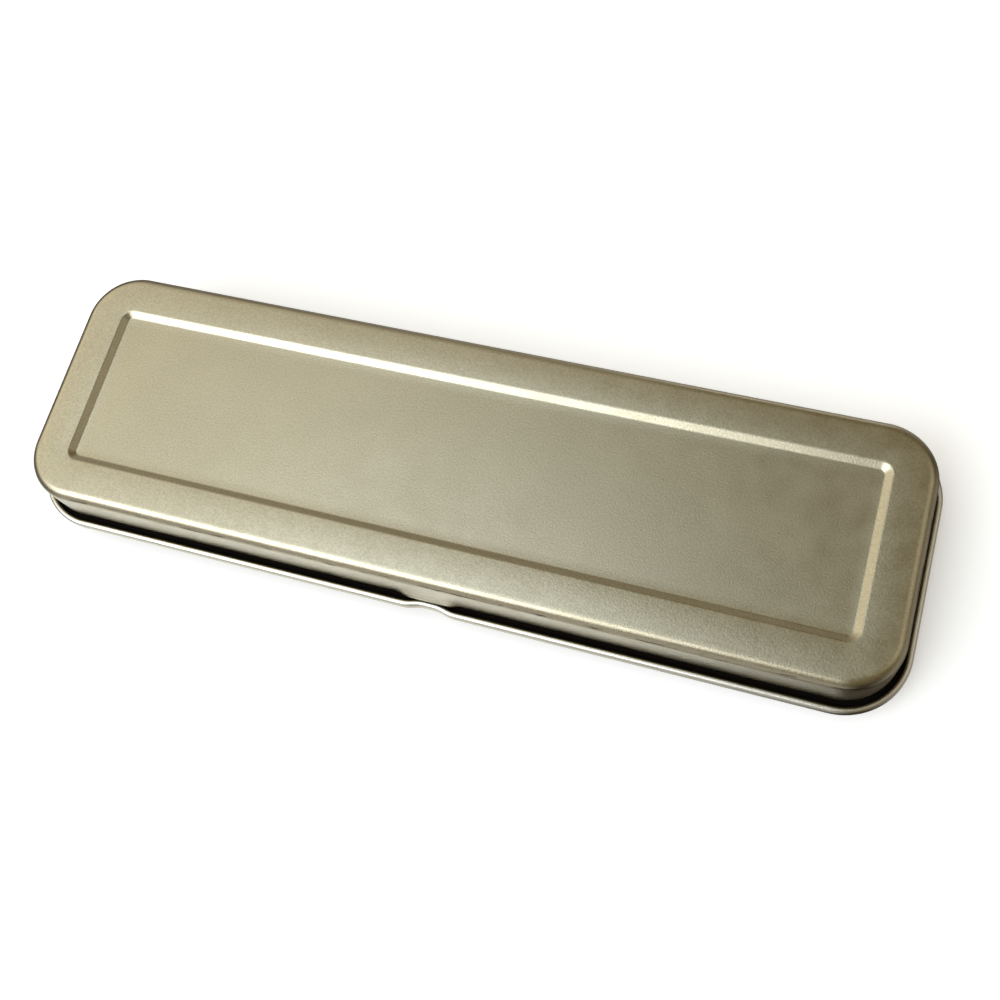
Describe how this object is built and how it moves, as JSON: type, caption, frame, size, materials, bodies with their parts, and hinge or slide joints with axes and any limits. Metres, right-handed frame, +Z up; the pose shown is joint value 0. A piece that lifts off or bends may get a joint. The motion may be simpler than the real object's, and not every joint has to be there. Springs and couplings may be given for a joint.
{
  "type": "pencil case",
  "caption": "slim hinged tinplate pencil case with a recessed lid panel, folded bead and finger dent",
  "frame": {"origin": "middle of the flat underside, on the surface that the case stands on", "axes": "+X along the length towards the right end, +Y to the hinged rear, +Z up; the lid opens at -Y"},
  "size_m": [0.1998, 0.0616, 0.02],
  "materials": {
    "lacquered_tinplate": "satin metallic champagne lacquer",
    "pin_wire": "drawn wire"
  },
  "bodies": {
    "base": {"base_tray": "lacquered_tinplate", "hinge_base_leaf_left": "lacquered_tinplate", "hinge_base_leaf_right": "lacquered_tinplate", "hinge_pin_left": "pin_wire", "hinge_pin_right": "pin_wire"},
    "cover": {"lid": "lacquered_tinplate", "hinge_lid_leaf_left": "lacquered_tinplate", "hinge_lid_leaf_right": "lacquered_tinplate"}
  },
  "joints": [
    {"name": "lid_hinge", "type": "hinge", "parent": "base", "child": "cover", "pos_m": [0, 0.0296, 0.0072], "axis": [-1, 0, 0], "range_deg": [0, 130]}
  ]
}
